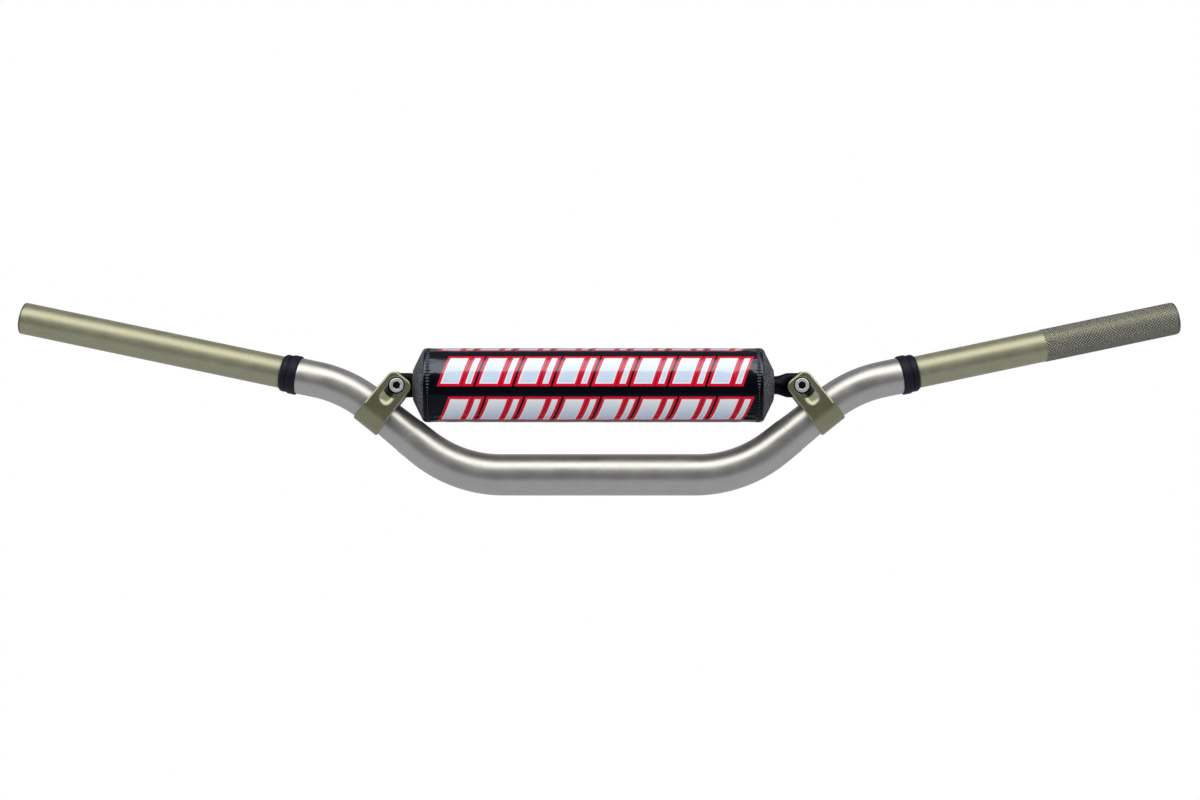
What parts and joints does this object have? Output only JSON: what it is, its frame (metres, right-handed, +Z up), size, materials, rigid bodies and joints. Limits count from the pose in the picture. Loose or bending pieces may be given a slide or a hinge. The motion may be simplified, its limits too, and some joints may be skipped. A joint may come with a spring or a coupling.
{
  "type": "motorcycle handlebar",
  "caption": "Off-road motorcycle handlebar: concentric bent tubes, rubber collars, bolted clamps, flat-ended crossbar and a round foam pad with a sewn cover.",
  "frame": {"origin": "middle of the straight clamping zone, on the tube axis", "axes": "+X to the right of someone facing the front of the bar (the knurled, clutch-side end), +Y back towards the rider, +Z up from the clamping zone to the grips"},
  "size_m": [0.8144, 0.0745, 0.1343],
  "materials": {
    "titanium_silver": "satin",
    "gold_anodised": "satin",
    "olive_anodised": "satin",
    "black_anodised": "satin",
    "bright_zinc": "gloss",
    "black_rubber": "matte",
    "black_nylon": "satin",
    "grey_foam": "matte",
    "black_vinyl": "gloss",
    "grey_textile": "matte",
    "black_tape": "matte"
  },
  "bodies": {
    "bar": {"outer_tube": "titanium_silver", "inner_tube": "gold_anodised", "collar_left": "black_rubber", "collar_right": "black_rubber", "clamp_left": "olive_anodised", "clamp_right": "olive_anodised", "clamp_nut_left": "bright_zinc", "clamp_nut_right": "bright_zinc", "crossbar": "black_anodised", "bush_front_left": "black_nylon", "bush_rear_left": "black_nylon", "bush_front_right": "black_nylon", "bush_rear_right": "black_nylon"},
    "pad_core": {"pad_foam_core": "grey_foam"},
    "pad_sleeve": {"pad_cover": "black_vinyl", "pad_end_cap_left": "grey_textile", "pad_end_cap_right": "grey_textile", "pad_flap": "black_vinyl", "pad_hook_strip": "black_tape", "pad_loop_strip": "black_tape"},
    "washer_left": {"bolt_washer_left": "bright_zinc"},
    "bolt_left": {"clamp_bolt_left": "bright_zinc"},
    "washer_right": {"bolt_washer_right": "bright_zinc"},
    "bolt_right": {"clamp_bolt_right": "bright_zinc"}
  },
  "joints": [
    {"name": "pad_slide", "type": "slide", "parent": "bar", "child": "pad_core", "axis": [1, 0, 0], "range_m": [-0.0006, 0.0088]},
    {"name": "pad_turn", "type": "hinge", "parent": "pad_core", "child": "pad_sleeve", "pos_m": [0, 0, 0.06202], "axis": [1, 0, 0], "continuous": true},
    {"name": "bolt_travel_left", "type": "slide", "parent": "bar", "child": "washer_left", "axis": [0, -1, 0], "range_m": [0, 0.005]},
    {"name": "bolt_turn_left", "type": "hinge", "parent": "washer_left", "child": "bolt_left", "pos_m": [-0.13942, 0, 0.06202], "axis": [0, -1, 0], "range_deg": [0, 1800]},
    {"name": "bolt_travel_right", "type": "slide", "parent": "bar", "child": "washer_right", "axis": [0, -1, 0], "range_m": [0, 0.005]},
    {"name": "bolt_turn_right", "type": "hinge", "parent": "washer_right", "child": "bolt_right", "pos_m": [0.13942, 0, 0.06202], "axis": [0, -1, 0], "range_deg": [0, 1800]}
  ],
  "couplings": [
    {"joint": "bolt_turn_left", "follows": "bolt_travel_left", "rad_per_m": 6283.2},
    {"joint": "bolt_turn_right", "follows": "bolt_travel_right", "rad_per_m": 6283.2}
  ]
}
